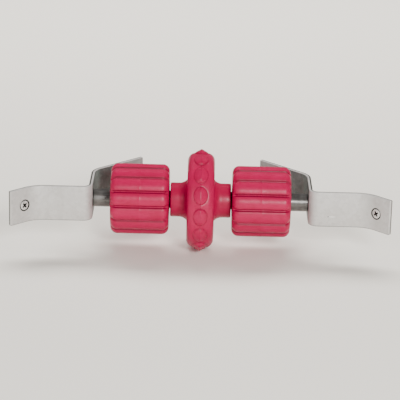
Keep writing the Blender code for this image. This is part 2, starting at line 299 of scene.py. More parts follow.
class Finish:
    """A Principled material under construction, with short ways to add and link its nodes."""

    def __init__(self, name, **values):
        self.material = bpy.data.materials.new(name)
        self.material.use_nodes = True
        self.tree = self.material.node_tree
        self.shader = self.tree.nodes["Principled BSDF"]
        for socket, value in values.items():
            self.shader.inputs[socket.replace("_", " ")].default_value = value
        self.place = self.node("ShaderNodeTexCoord").outputs["Object"]

    def node(self, kind, **settings):
        made = self.tree.nodes.new(kind)
        for key, value in settings.items():
            setattr(made, key, value)
        return made

    def feed(self, socket, source):
        if isinstance(source, bpy.types.NodeSocket):
            self.tree.links.new(source, socket)
        else:
            socket.default_value = source

    def math(self, operation, *sources):
        made = self.node("ShaderNodeMath", operation=operation)
        for socket, source in zip(made.inputs, sources):
            self.feed(socket, source)
        return made.outputs[0]

    def stretched(self, scale):
        made = self.node("ShaderNodeMapping")
        self.feed(made.inputs["Vector"], self.place)
        made.inputs["Scale"].default_value = scale
        return made.outputs["Vector"]

    def noise(self, size, detail=3, roughness=0.5, place=None):
        """Noise whose lumps are about size across."""
        made = self.node("ShaderNodeTexNoise")
        self.feed(made.inputs["Vector"], place or self.place)
        made.inputs["Scale"].default_value = 1 / size
        made.inputs["Detail"].default_value = detail
        made.inputs["Roughness"].default_value = roughness
        return made.outputs["Fac"]

    def cells(self, size):
        """A random value for each flake of about that size."""
        made = self.node("ShaderNodeTexVoronoi")
        self.feed(made.inputs["Vector"], self.place)
        made.inputs["Scale"].default_value = 1 / size
        return made.outputs["Color"]

    def ramp(self, source, low, high, out_low=0.0, out_high=1.0):
        made = self.node("ShaderNodeMapRange")
        for socket, value in zip(made.inputs, (source, low, high, out_low, out_high)):
            self.feed(socket, value)
        return made.outputs["Result"]

    def attribute(self, name):
        return self.node("ShaderNodeAttribute", attribute_name=name).outputs["Fac"]

    def mix(self, share, first, second):
        made = self.node("ShaderNodeMix", data_type="RGBA")
        self.feed(made.inputs[0], share)
        for socket, colour in ((made.inputs[6], first), (made.inputs[7], second)):
            self.feed(socket, colour if isinstance(colour, bpy.types.NodeSocket) else (*colour, 1))
        return made.outputs[2]

    def mottled(self, source, first, second):
        """A colour that drifts between two as a noise rises and falls."""
        return self.mix(self.ramp(source, *MOTTLE), first, second)

    def colour(self, source):
        self.feed(self.shader.inputs["Base Color"], source)

    def roughness(self, source, dull_where=None):
        """Roughness from a source, and nearly matt wherever a mark such as the painted crevice shade says
        so.
        """
        if dull_where:
            source = self.math("MAXIMUM", source, self.math("MULTIPLY", dull_where, 0.9))
        self.feed(self.shader.inputs["Roughness"], source)

    def bump(self, *layers):
        """Layers of (height, depth), each laid over the one before."""
        normal = None
        for height, depth in layers:
            made = self.node("ShaderNodeBump")
            made.inputs["Distance"].default_value = depth
            self.feed(made.inputs["Height"], height)
            if normal:
                self.feed(made.inputs["Normal"], normal)
            normal = made.outputs["Normal"]
        self.feed(self.shader.inputs["Normal"], normal)


def red_rubber():
    """Satin moulded rubber: faint mottling, chalky where it stands proud, and painted shade down in the
    grooves, round the knobs and along the seam.
    """
    finish = Finish("red_rubber", Specular_IOR_Level=0.28)
    cloud = finish.noise(9 * MM, 4)
    grain = finish.noise(0.55 * MM, 3, 0.6)
    base = finish.mottled(cloud, RUBBER_DEEP, RUBBER_LIGHT)
    patchy = finish.ramp(finish.noise(3 * MM, 4), 0.3, 0.75, 0.05, 0.35)
    proud = finish.math("MULTIPLY", finish.attribute("proud"), patchy)
    worn = finish.mix(proud, base, RUBBER_CHALKY)
    # Painted shade in the grooves, the knob rings and the seam
    finish.colour(finish.mix(finish.attribute("crevice_shade"), worn, RUBBER_CREVICE_SHADE))
    finish.roughness(finish.ramp(finish.noise(2.2 * MM, 4), 0.25, 0.75, 0.30, 0.46))
    finish.bump((cloud, 0.25 * MM), (grain, 0.035 * MM))
    return finish.material


def zinc_strap():
    """Zinc-plated strip: flakes, fine rolling marks, and arcs scratched round the outer screws."""
    finish = Finish("zinc_strap", Metallic=0.3)
    cloud = finish.noise(14 * MM, 4)
    flakes = finish.cells(2.6 * MM)
    rolled = finish.noise(0.9 * MM, 2, place=finish.stretched((1, 1, 7)))
    arcs = screw_arcs(finish)
    tone = finish.math("ADD", finish.math("MULTIPLY", cloud, 0.6), finish.math("MULTIPLY", flakes, 0.4))
    pit, rub = wing_marks(finish)
    patchy = finish.ramp(tone, *MOTTLE, 0.95, 0.82)
    # Painted shade of the rollers on the inner pads, patchy with the flakes
    shade_behind_roller = finish.math("MULTIPLY", finish.attribute("shade_behind_roller"), patchy)
    # Dark narrow sides: a burr on the wall side, and painted shade on the lower side
    burr_and_shade = finish.math("MULTIPLY", finish.attribute("edge"), 0.94)
    colour = finish.mottled(tone, ZINC_DEEP, ZINC_LIGHT)
    colour = finish.mix(finish.math("MULTIPLY", arcs, 0.45), colour, ZINC_SCRATCHED)
    colour = finish.mix(finish.math("MULTIPLY", rub, 0.7), colour, ZINC_RUBBED)
    colour = finish.mix(pit, colour, PIT_DARK)
    colour = finish.mix(shade_behind_roller, colour, ZINC_ROLLER_SHADE)
    colour = finish.mix(burr_and_shade, colour, BURR_AND_SHADE_DARK)
    # Painted shade down the countersinks, round the screw heads
    finish.colour(finish.mix(finish.attribute("crevice_shade"), colour, SINK_SHADE))
    grain = finish.math("ADD", tone, finish.math("MULTIPLY", rolled, 0.4))
    finish.roughness(finish.ramp(grain, 0.4, 1.0, 0.40, 0.56), finish.attribute("crevice_shade"))
    finish.bump((cloud, 0.12 * MM), (rolled, 0.02 * MM), (arcs, 0.04 * MM))
    return finish.material


def screw_arcs(finish):
    """Fine rings round the outer screws, broken up by noise. X is taken without its sign, for both sides."""
    seat = strap_corners()[0] - along_wall() * OUTER_HOLE_FROM_TIP
    split = finish.node("ShaderNodeSeparateXYZ")
    finish.feed(split.inputs[0], finish.place)
    both = finish.node("ShaderNodeCombineXYZ")
    finish.feed(both.inputs["X"], finish.math("ABSOLUTE", split.outputs["X"]))
    finish.feed(both.inputs["Y"], split.outputs["Y"])
    finish.feed(both.inputs["Z"], split.outputs["Z"])
    away = finish.node("ShaderNodeVectorMath", operation="DISTANCE")
    finish.feed(away.inputs[0], both.outputs[0])
    away.inputs[1].default_value = (seat.x, seat.y + AXLE_Y, ARC_RISE)
    distance = away.outputs["Value"]
    rings = finish.math("SINE", finish.math("MULTIPLY", distance, 2 * math.pi / ARC_PITCH))
    near = finish.ramp(distance, *ARC_EDGES, 1.0, 0.0)
    patchy = finish.ramp(finish.noise(6 * MM, 2), 0.45, 0.62)
    crisp = finish.ramp(rings, 0.35, 0.9)
    return finish.math("MULTIPLY", finish.math("MULTIPLY", crisp, near), patchy)


def wing_marks(finish):
    """A small pit in the right wing's face, and the bright rub that runs outwards from it."""
    pit = spot(finish, WING_PIT_X, 1, PIT_EDGES)
    rub = spot(finish, WING_PIT_X + RUB_ASIDE, RUB_STRETCH, RUB_EDGES)
    return pit, rub


def spot(finish, x, stretch, edges):
    """A mark on the right wing's face at x and the pit's height: 1 at its middle, and 0 past its edges."""
    moved = finish.node("ShaderNodeVectorMath", operation="SUBTRACT")
    finish.feed(moved.inputs[0], finish.place)
    moved.inputs[1].default_value = (x, AXLE_Y + WING_Y - STRAP_THICK / 2, WING_PIT_Z)
    scaled = finish.node("ShaderNodeVectorMath", operation="MULTIPLY")
    finish.feed(scaled.inputs[0], moved.outputs[0])
    scaled.inputs[1].default_value = (stretch, 1, 1)
    length = finish.node("ShaderNodeVectorMath", operation="LENGTH")
    finish.feed(length.inputs[0], scaled.outputs[0])
    return finish.ramp(length.outputs["Value"], *edges, 1.0, 0.0)


def axle_steel():
    """Drawn dark steel with long draw lines, a few brighter rubs, and a painted dark red shade in the gaps
    beside the centre roller.
    """
    finish = Finish("axle_steel", Metallic=0.7)
    drawn = finish.noise(0.8 * MM, 3, 0.6, finish.stretched((0.05, 1, 1)))
    cloud = finish.noise(7 * MM, 4)
    base = finish.mottled(cloud, STEEL_DEEP, STEEL_LIGHT)
    bright = finish.mix(finish.ramp(drawn, 0.5, 0.8, 0.0, 0.5), base, STEEL_RUBBED)
    # Painted dark red shade in the gaps between the rollers
    finish.colour(finish.mix(finish.attribute("gap_shade"), bright, GAP_SHADE_RED))
    finish.roughness(finish.ramp(cloud, *MOTTLE, 0.26, 0.44))
    finish.bump((drawn, 0.02 * MM), (cloud, 0.08 * MM))
    return finish.material


def bright_zinc():
    """Plated fasteners: bright where they are rubbed clean, greyer elsewhere, and painted shade in the
    recesses and round the screw heads' rims.
    """
    finish = Finish("bright_zinc", Metallic=0.7)
    cloud = finish.noise(2.5 * MM, 4)
    fine = finish.noise(0.4 * MM, 3)
    clean = finish.mottled(cloud, *PLATE_CLEAN)
    grey = finish.mottled(cloud, *PLATE_GREY)
    base = finish.mix(finish.attribute("dulled"), clean, grey)
    # Painted shade in the cross recess and round the head's rim
    finish.colour(finish.mix(finish.attribute("crevice_shade"), base, PLATE_CREVICE_SHADE))
    finish.roughness(finish.ramp(cloud, *MOTTLE, 0.30, 0.46), finish.attribute("crevice_shade"))
    finish.bump((fine, 0.012 * MM))
    return finish.material


def white_nylon():
    """Milky nylon, faintly mottled."""
    finish = Finish("white_nylon", Subsurface_Weight=0.15, Subsurface_Scale=1 * MM)
    cloud = finish.noise(3 * MM, 3)
    finish.colour(finish.mottled(cloud, *NYLON))
    finish.roughness(finish.ramp(cloud, *MOTTLE, 0.42, 0.58))
    finish.bump((finish.noise(0.3 * MM, 2), 0.01 * MM))
    return finish.material


# Making meshes ------------------------------------------------------------------------------------


def smooth_step(low, high, value):
    share = min(1.0, max(0.0, (value - low) / (high - low)))
    return share * share * (3 - 2 * share)


def steps(start, end, count):
    """Evenly spaced values from start to end, both included."""
    return [start + (end - start) * i / count for i in range(count + 1)]


def arc(centre, radius, start, end, count):
    points = []
    for angle in steps(start, end, count):
        points.append((centre[0] + radius * math.cos(angle), centre[1] + radius * math.sin(angle)))
    return points


def object_of(name, mesh):
    made = bpy.data.objects.new(name, mesh)
    bpy.context.scene.collection.objects.link(made)
    return made


def mesh_of(name, work, place=None):
    """Ends a bmesh as a mesh, in place, with its faces outwards."""
    if place:
        bmesh.ops.transform(work, matrix=place, verts=work.verts)
    bmesh.ops.recalc_face_normals(work, faces=work.faces)
    mesh = bpy.data.meshes.new(name)
    work.to_mesh(mesh)
    work.free()
    return mesh


def bake(item):
    """Turns what an object's modifiers make into its own plain mesh."""
    depsgraph = bpy.context.evaluated_depsgraph_get()
    mesh = bpy.data.meshes.new_from_object(item.evaluated_get(depsgraph))
    item.modifiers.clear()
    item.data = mesh


def finish_piece(item, material, body, nodes, sharp=35):
    """Shades a piece, gives it its material, and puts it on its body in place of its CAD nodes."""
    mesh = item.data
    mesh.shade_smooth()
    mesh.set_sharp_from_angle(angle=math.radians(sharp))
    mesh.materials.clear()
    mesh.materials.append(material)
    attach(item, body)
    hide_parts(*nodes)


def boolean(item, operation, tool):
    modifier = item.modifiers.new(operation.lower(), "BOOLEAN")
    modifier.operation = operation
    modifier.object = tool
    modifier.solver = "EXACT"


def mark_faces(mesh, name, is_marked):
    """Writes 1 on the corners of every face that passes the test and 0 elsewhere, so a mark ends crisply."""
    values = []
    for face in mesh.polygons:
        values += [1.0 if is_marked(face) else 0.0] * face.loop_total
    mesh.attributes.new(name, "FLOAT", "CORNER").data.foreach_set("value", values)


def dull_all_over(item):
    """Greys a whole fastener that is never rubbed."""
    mark_faces(item.data, "dulled", lambda face: True)


def remove(item):
    bpy.data.objects.remove(item, do_unlink=True)


def turned(work, section, count, place=None, closed=True):
    """Sweeps (x, radius) points round X. A closed section makes a ring; an open one ends on the axis."""
    rings = []
    for x, radius in section:
        if radius == 0:
            rings.append([work.verts.new((x, 0, 0))])
            continue
        ring = []
        for i in range(count):
            angle = 2 * math.pi * i / count
            ring.append(work.verts.new((x, radius * math.cos(angle), radius * math.sin(angle))))
        rings.append(ring)
    pairs = list(zip(rings, rings[1:]))
    if closed:
        pairs.append((rings[-1], rings[0]))
    for ring, following in pairs:
        for i in range(count):
            j = (i + 1) % count
            if len(ring) == 1:
                work.faces.new((ring[0], following[j], following[i]))
            elif len(following) == 1:
                work.faces.new((ring[i], ring[j], following[0]))
            else:
                work.faces.new((ring[i], ring[j], following[j], following[i]))
    if place:
        bmesh.ops.transform(work, matrix=place, verts=work.verts)


# What repeats: Geometry Nodes trees ---------------------------------------------------------------


def new_tree(name, inputs):
    """An empty tree with a Geometry socket at each end and the named inputs."""
    tree = bpy.data.node_groups.new(name, "GeometryNodeTree")
    tree.interface.new_socket("Geometry", in_out="INPUT", socket_type="NodeSocketGeometry")
    for label, kind in inputs:
        tree.interface.new_socket(label, in_out="INPUT", socket_type=kind)
    tree.interface.new_socket("Geometry", in_out="OUTPUT", socket_type="NodeSocketGeometry")
    return tree


def run_tree(item, tree, **values):
    """Puts the tree on an object, with its inputs set by their identifiers, and bakes the result."""
    modifier = item.modifiers.new(tree.name, "NODES")
    modifier.node_group = tree
    for socket in tree.interface.items_tree:
        if socket.in_out == "INPUT" and socket.name in values:
            modifier[socket.identifier] = values[socket.name]
    bake(item)


def sector_ring_tree():
    """Sets Count copies of a sector round the X axis, and welds their edges into one skin."""
    inputs = (("Count", "NodeSocketInt"), ("Weld", "NodeSocketFloat"), ("Material", "NodeSocketMaterial"))
    tree = new_tree("sector_ring", inputs)
    nodes, link = tree.nodes, tree.links.new
    start = nodes.new("NodeGroupInput")
    end = nodes.new("NodeGroupOutput")
    line = nodes.new("GeometryNodeMeshLine")
    line.inputs["Offset"].default_value = (0, 0, 0)
    index = nodes.new("GeometryNodeInputIndex")
    pitch = nodes.new("ShaderNodeMath")
    pitch.operation = "DIVIDE"
    pitch.inputs[0].default_value = 2 * math.pi
    angle = nodes.new("ShaderNodeMath")
    angle.operation = "MULTIPLY"
    turn = nodes.new("FunctionNodeAxisAngleToRotation")
    turn.inputs["Axis"].default_value = (1, 0, 0)
    copies = nodes.new("GeometryNodeInstanceOnPoints")
    real = nodes.new("GeometryNodeRealizeInstances")
    weld = nodes.new("GeometryNodeMergeByDistance")
    paint = nodes.new("GeometryNodeSetMaterial")
    link(start.outputs["Count"], line.inputs["Count"])
    link(start.outputs["Count"], pitch.inputs[1])
    link(index.outputs[0], angle.inputs[0])
    link(pitch.outputs[0], angle.inputs[1])
    link(angle.outputs[0], turn.inputs["Angle"])
    link(line.outputs["Mesh"], copies.inputs["Points"])
    link(start.outputs["Geometry"], copies.inputs["Instance"])
    link(turn.outputs["Rotation"], copies.inputs["Rotation"])
    link(copies.outputs["Instances"], real.inputs["Geometry"])
    link(real.outputs["Geometry"], weld.inputs["Geometry"])
    link(start.outputs["Weld"], weld.inputs["Distance"])
    link(weld.outputs["Geometry"], paint.inputs["Geometry"])
    link(start.outputs["Material"], paint.inputs["Material"])
    link(paint.outputs["Geometry"], end.inputs["Geometry"])
    return tree


def placed_copies_tree():
    """Sets a copy of Piece on each point, turned as the point's turn attribute says."""
    tree = new_tree("placed_copies", (("Piece", "NodeSocketObject"), ("Material", "NodeSocketMaterial")))
    nodes, link = tree.nodes, tree.links.new
    start = nodes.new("NodeGroupInput")
    end = nodes.new("NodeGroupOutput")
    piece = nodes.new("GeometryNodeObjectInfo")
    turn = nodes.new("GeometryNodeInputNamedAttribute")
    turn.data_type = "FLOAT_VECTOR"
    turn.inputs["Name"].default_value = "turn"
    rotation = nodes.new("FunctionNodeEulerToRotation")
    copies = nodes.new("GeometryNodeInstanceOnPoints")
    real = nodes.new("GeometryNodeRealizeInstances")
    paint = nodes.new("GeometryNodeSetMaterial")
    link(start.outputs["Piece"], piece.inputs["Object"])
    link(turn.outputs["Attribute"], rotation.inputs["Euler"])
    link(start.outputs["Geometry"], copies.inputs["Points"])
    link(piece.outputs["Geometry"], copies.inputs["Instance"])
    link(rotation.outputs["Rotation"], copies.inputs["Rotation"])
    link(copies.outputs["Instances"], real.inputs["Geometry"])
    link(real.outputs["Geometry"], paint.inputs["Geometry"])
    link(start.outputs["Material"], paint.inputs["Material"])
    link(paint.outputs["Geometry"], end.inputs["Geometry"])
    return tree


def add_sector(work, section, shares, count, shape):
    """One sector of a ring: a closed section of (x, radius) points over shares of the pitch from 0 to 1.

    shape(x, radius, share) gives the point's own x and radius, how proud it is there, and how much painted
    shade it takes there.
    """
    proud = work.verts.layers.float.new("proud")
    crevice_shade = work.verts.layers.float.new("crevice_shade")
    pitch = 2 * math.pi / count
    rings = []
    for share in shares:
        angle = pitch * share
        ring = []
        for x, radius in section:
            along, r, stands_out, shade_share = shape(x, radius, share)
            vert = work.verts.new((along, -r * math.cos(angle), r * math.sin(angle)))
            vert[proud] = stands_out
            vert[crevice_shade] = shade_share
            ring.append(vert)
        rings.append(ring)
    for ring, following in zip(rings, rings[1:]):
        for i in range(len(section)):
            j = (i + 1) % len(section)
            work.faces.new((ring[i], following[i], following[j], ring[j]))


# Brackets -----------------------------------------------------------------------------------------


def along_wall():
    """Direction of the right-hand wall in plan, out of the corner."""
    return Vector((math.cos(PAD_ANGLE), -math.sin(PAD_ANGLE)))


def strap_corners():
    """The right bracket's middle surface in plan, from its outer tip to its inner tip."""
    wing_out = Vector((RISER_X + (RISER_BACK_Y - WING_Y) / math.tan(PAD_ANGLE), WING_Y))
    riser_back = Vector((RISER_X, RISER_BACK_Y))
    return [
        wing_out + along_wall() * OUTER_PAD_LENGTH,
        wing_out,
        Vector((RISER_X, WING_Y)),
        riser_back,
        riser_back - along_wall() * INNER_PAD_LENGTH,
    ]


def bent_path(corners, radii):
    """Points and directions along straight runs, with an arc at each bend."""
    path = [(corners[0], (corners[1] - corners[0]).normalized())]
    for before, corner, after, radius in zip(corners, corners[1:], corners[2:], radii):
        arriving = (corner - before).normalized()
        leaving = (after - corner).normalized()
        turn = arriving.angle_signed(leaving)
        start = corner - arriving * radius * math.tan(abs(turn) / 2)
        path += along_run(path[-1][0], start, arriving)
        centre = start + math.copysign(radius, turn) * Vector((arriving.y, -arriving.x))
        for share in steps(0, 1, BEND_STEPS):
            spin = Matrix.Rotation(-turn * share, 2)
            path.append((centre + spin @ (start - centre), spin @ arriving))
    leaving = path[-1][1]
    path += along_run(path[-1][0], corners[-1], leaving)
    path.append((corners[-1], leaving))
    return path


def along_run(start, end, way, stride=5 * MM):
    """Points inside a straight run, about one stride apart."""
    count = max(1, round((end - start).length / stride))
    return [(start.lerp(end, share), way) for share in steps(0, 1, count)[1:-1]]


def strap_outline(inset):
    """The strap's cross-section as (towards the wall, up) points, with rounded corners, drawn in by inset.

    Each narrow face has a point in its middle, because the shear leaves a burr on the wall side only, and
    the lower narrow face takes painted shade all across.
    """
    half_thick = STRAP_THICK / 2 - inset
    half_wide = STRAP_WIDTH / 2 - inset
    outline = []
    for quarter, (across, up) in enumerate(((1, 1), (-1, 1), (-1, -1), (1, -1))):
        centre = (across * (half_thick - STRAP_EDGE), up * (half_wide - STRAP_EDGE))
        outline += arc(centre, STRAP_EDGE, quarter * math.pi / 2, (quarter + 1) * math.pi / 2, 3)
        if quarter % 2 == 0:
            outline.append((0, up * half_wide))
    return outline


def is_dark_narrow_side(first, second):
    """Whether the outline's side between two points is darkened: narrow, and towards the wall, where it is
    burred, or low, where it takes painted shade.
    """
    across = (first[0] + second[0]) / 2
    up = (first[1] + second[1]) / 2
    return abs(up) > STRAP_WIDTH / 2 - STRAP_EDGE * 0.95 and (across > 0 or up < 0)


def add_strap(work, side):
    """Sweeps the strap's outline along its bends, and marks the burred faces and the lower narrow faces,
    which take painted shade, in a face layer.
    """
    dark_sides = work.faces.layers.float.new("dark_sides")
    path = bent_path(strap_corners(), BENDS)
    (first, way_in), (last, way_out) = path[0], path[-1]
    rings = [(first, way_in, TIP_INSET), (first + way_in * TIP_LONG, way_in, 0)]
    rings += [(point, way, 0) for point, way in path[1:-1]]
    rings += [(last - way_out * TIP_LONG, way_out, 0), (last, way_out, TIP_INSET)]
    outline = strap_outline(0)
    count = len(outline)
    made = []
    for point, way, inset in rings:
        across = Vector((way.y, -way.x))
        ring = []
        for out, up in strap_outline(inset):
            place = point + across * out
            ring.append(work.verts.new((side * place.x, place.y, up)))
        made.append(ring)
    for ring, following in zip(made, made[1:]):
        for i in range(count):
            j = (i + 1) % count
            face = work.faces.new((ring[i], ring[j], following[j], following[i]))
            face[dark_sides] = float(is_dark_narrow_side(outline[i], outline[j]))
    top, bottom = [i for i in range(count) if outline[i][0] == 0]
    for ring in (made[0], made[-1]):
        room_side = work.faces.new(ring[top:bottom + 1])
        wall_side = work.faces.new(ring[bottom:] + ring[:top + 1])
        room_side[dark_sides], wall_side[dark_sides] = 0.0, 1.0


def screw_places(side):
    """Places of a bracket's outer and inner screws: -X into the wall, origin in the room-side face."""
    corners = strap_corners()
    outer = corners[0] - along_wall() * OUTER_HOLE_FROM_TIP
    inner = corners[-1] + along_wall() * INNER_HOLE_FROM_TIP
    out_of_wall = Vector((-side * math.sin(PAD_ANGLE), -math.cos(PAD_ANGLE), 0))
    up = Vector((0, 0, 1))
    turn = Matrix((out_of_wall, up, out_of_wall.cross(up))).transposed().to_4x4()
    places = []
    for seat in (outer, inner):
        face = Vector((side * seat.x, seat.y, 0)) + out_of_wall * STRAP_THICK / 2
        places.append(AXLE @ Matrix.Translation(face) @ turn)
    return places


def build_bracket(hand, side, material):
    """A bent strap with two countersunk screw holes and a hole for the bolt."""
    work = bmesh.new()
    add_strap(work, side)
    bracket = object_of(f"{hand}_strap_bracket", mesh_of("strap", work, AXLE))
    beyond = 1.0 * MM
    sink = [(beyond, 0), (beyond, SCREW_SINK), (-0.5 * MM, SCREW_SINK), (-SCREW_HEAD_HIGH, SCREW_HOLE)]
    sink += [(-STRAP_THICK - beyond, SCREW_HOLE), (-STRAP_THICK - beyond, 0)]
    tools = []
    for place in screw_places(side):
        hole = bmesh.new()
        turned(hole, sink, SCREW_AROUND, place, closed=False)
        tools.append(object_of("sink", mesh_of("sink", hole)))
    hole = bmesh.new()
    start, end = side * RISER_X - STRAP_THICK, side * RISER_X + STRAP_THICK
    drill = [(start, 0), (start, BOLT_HOLE), (end, BOLT_HOLE), (end, 0)]
    turned(hole, drill, SCREW_AROUND, AXLE, closed=False)
    tools.append(object_of("bolt_hole", mesh_of("bolt_hole", hole)))
    for tool in tools:
        boolean(bracket, "DIFFERENCE", tool)
    bake(bracket)
    for tool in tools:
        remove(tool)
    mark_strap(bracket.data, side)
    finish_piece(bracket, material, "frame", [f"{hand}_bracket"], 28)


def mark_strap(mesh, side):
    """Marks the strap: painted shade down its countersinks, dark on its burred sides and on its lower narrow
    side, which takes painted shade, and painted shade of the rollers on the room side behind each roller.
    """
    to_screws = [place.inverted() for place in screw_places(side)]
    riser_back = strap_corners()[3]
    out_of_wall = Vector((-math.sin(PAD_ANGLE), -math.cos(PAD_ANGLE)))
    dark_sides = [item.value for item in mesh.attributes["dark_sides"].data]
    mesh.attributes.remove(mesh.attributes["dark_sides"])

    def in_sink(face):
        for to_screw in to_screws:
            local = to_screw @ face.center
            is_steep = abs((to_screw.to_3x3() @ face.normal).x) < 0.9
            if math.hypot(local.y, local.z) < SCREW_SINK and is_steep:
                return True
        return False

    # Painted shade on the countersinks' walls
    mark_faces(mesh, "crevice_shade", in_sink)
    # Dark narrow sides: a burr on the wall side, and painted shade on the lower side
    mark_faces(mesh, "edge", lambda face: dark_sides[face.index] > 0.5)
    # Painted shade of the rollers on the room side of the inner pads, darkest by the riser
    roller_shade_share = []
    for vert in mesh.vertices:
        plan = Vector((side * vert.co.x, vert.co.y - AXLE_Y))
        on_room_side = (plan - riser_back).dot(out_of_wall) > STRAP_THICK / 4
        on_broad_face = abs(vert.co.z) < STRAP_WIDTH / 2 - STRAP_EDGE + 0.01 * MM
        inside_riser = plan.x < RISER_X and plan.y > WING_Y + BENDS[1]
        from_riser = (riser_back - plan).dot(along_wall())
        share = ROLLER_SHADE_LEAST + (1 - ROLLER_SHADE_LEAST) * (1 - smooth_step(*ROLLER_SHADE_EDGES, from_riser))
        roller_shade_share.append(share if on_room_side and on_broad_face and inside_riser else 0.0)
    mesh.attributes.new("shade_behind_roller", "FLOAT", "POINT").data.foreach_set("value", roller_shade_share)


# Fasteners ----------------------------------------------------------------------------------------


def add_threaded(work, start, end, root, depth, pitch, taper=0.0, around=28):
    """A rod along X whose surface follows a helix: a grid of rings, closed by a flat face at each end.

    The thread fades in over its first turn. Over the last taper of its length the rod narrows to a point.
    """
    rows = int((end - start) / pitch * THREAD_ROWS)
    rings = []
    for x in steps(start, end, rows):
        left = end - x
        narrow = min(1.0, left / taper) if taper else 1.0
        fade = smooth_step(0, pitch, x - start)
        ring = []
        for i in range(around):
            turn = i / around
            phase = ((x - start) / pitch - turn) % 1
            ridge = max(0.0, 1 - abs(phase - 0.5) / 0.3)
            r = max(0.25 * MM, root * narrow) + depth * ridge * fade * max(narrow, 0.35)
            angle = 2 * math.pi * turn
            ring.append(work.verts.new((x, r * math.cos(angle), r * math.sin(angle))))
        rings.append(ring)
    for ring, following in zip(rings, rings[1:]):
        for i in range(around):
            j = (i + 1) % around
            work.faces.new((ring[i], ring[j], following[j], following[i]))
    work.faces.new(rings[0])
    work.faces.new(rings[-1])


def screw_template():
    """A countersunk wood screw with a cross recess, along -X, with its head's face at the origin."""
    head = [(0.12 * MM, 0), (0.10 * MM, 0.6 * SCREW_HEAD), (0, 0.92 * SCREW_HEAD)]
    head += [(-0.15 * MM, SCREW_HEAD), (-0.45 * MM, SCREW_HEAD)]
    head += [(-SCREW_HEAD_HIGH, SCREW_SHANK), (-5 * MM, SCREW_SHANK * 0.98), (-5 * MM, 0)]
    work = bmesh.new()
    turned(work, head, SCREW_AROUND, closed=False)
    screw = object_of("screw", mesh_of("screw", work))
    thread = bmesh.new()
    ends = (SCREW_THREAD_START, SCREW_LONG)
    add_threaded(thread, *ends, SCREW_ROOT, SCREW_THREAD_DEEP, SCREW_PITCH, taper=SCREW_POINT)
    flip = Matrix.Rotation(math.pi, 4, "Z")
    shank = object_of("shank", mesh_of("shank", thread, flip))
    boolean(screw, "UNION", shank)
    slots = []
    for turn in (0, math.pi / 2):
        slot = bmesh.new()
        add_cross_arm(slot)
        slots.append(object_of("slot", mesh_of("slot", slot, Matrix.Rotation(turn, 4, "X"))))
        boolean(screw, "DIFFERENCE", slots[-1])
    bake(screw)
    remove(shank)
    for slot in slots:
        remove(slot)
    # Painted shade in the cross recess, and a dark painted ring of shade round the head's rim
    dark_rim = SCREW_HEAD * 0.96

    def is_crevice_shaded(face):
        radius = math.hypot(face.center.y, face.center.z)
        in_cross = radius < CROSS_LONG and face.normal.x < 0.9
        on_floor = radius < CROSS_LONG and face.center.x < -0.5 * MM
        return (face.center.x > -CROSS_DEEP * 1.1 and (in_cross or on_floor)) or (radius > dark_rim)

    mark_faces(screw.data, "crevice_shade", is_crevice_shaded)
    mark_faces(screw.data, "dulled", lambda face: face.center.x < -SCREW_HEAD_HIGH)
    return screw


def add_cross_arm(work):
    """One arm of a cross recess: a blade that narrows downwards."""
    top = (0.5 * MM, CROSS_LONG, CROSS_WIDE)
    bottom = (-CROSS_DEEP, CROSS_LONG * 0.35, CROSS_WIDE * 0.6)
    levels = []
    for x, long, wide in (top, bottom):
        corners = ((-long, -wide), (long, -wide), (long, wide), (-long, wide))
        levels.append([work.verts.new((x, y, z)) for y, z in corners])
    for i in range(4):
        j = (i + 1) % 4
        work.faces.new((levels[0][i], levels[0][j], levels[1][j], levels[1][i]))
    work.faces.new(levels[0])
    work.faces.new(levels[1])


def build_screws(tree, material):
    """The four wood screws, set in their countersinks and each left at its own angle."""
    template = screw_template()
    places = screw_places(LEFT) + screw_places(RIGHT)
    mesh = bpy.data.meshes.new("screw_points")
    mesh.from_pydata([place.translation for place in places], [], [])
    turns = mesh.attributes.new("turn", "FLOAT_VECTOR", "POINT")
    for item, place, angle in zip(turns.data, places, SCREWS_LEFT_AT):
        item.vector = (place @ Matrix.Rotation(math.radians(angle), 4, "X")).to_euler()
    screws = object_of("cross_head_screws", mesh)
    run_tree(screws, tree, Piece=template, Material=material)
    remove(template)
    nodes = [f"{hand}_{spot}_screw" for hand in ("left", "right") for spot in ("outer", "inner")]
    finish_piece(screws, material, "frame", nodes, 30)


def add_hexagon(work, start, end, bore=0.0, both=False):
    """A hexagon along X whose corners are turned down in a cone at its end, or at both ends."""
    around = HEX_AROUND
    chamfer = HEX_FLAT * 0.97
    fall = math.tan(math.radians(30))
    rows = []

    def hex_radius(angle):
        return HEX_FLAT / math.cos((angle + math.pi / 6) % (math.pi / 3) - math.pi / 6)

    def ring(x_of, radius_of):
        points = []
        for i in range(around):
            angle = 2 * math.pi * i / around
            r = radius_of(angle)
            points.append(work.verts.new((x_of(r), r * math.cos(angle), r * math.sin(angle))))
        return points

    sign = 1 if end > start else -1
    inner = bore if bore else 0.3 * chamfer
    rows.append(ring(lambda r: start, lambda a: inner))
    if both:
        rows.append(ring(lambda r: start, lambda a: chamfer))
        rows.append(ring(lambda r: start + sign * (r - chamfer) * fall, hex_radius))
    else:
        rows.append(ring(lambda r: start, hex_radius))
    rows.append(ring(lambda r: end - sign * (r - chamfer) * fall, hex_radius))
    rows.append(ring(lambda r: end, lambda a: chamfer))
    rows.append(ring(lambda r: end, lambda a: inner))
    pairs = list(zip(rows, rows[1:]))
    if bore:
        pairs.append((rows[-1], rows[0]))
    for row, following in pairs:
        for i in range(around):
            j = (i + 1) % around
            work.faces.new((row[i], row[j], following[j], following[i]))
    if not bore:
        work.faces.new(rows[0])
        work.faces.new(rows[-1])


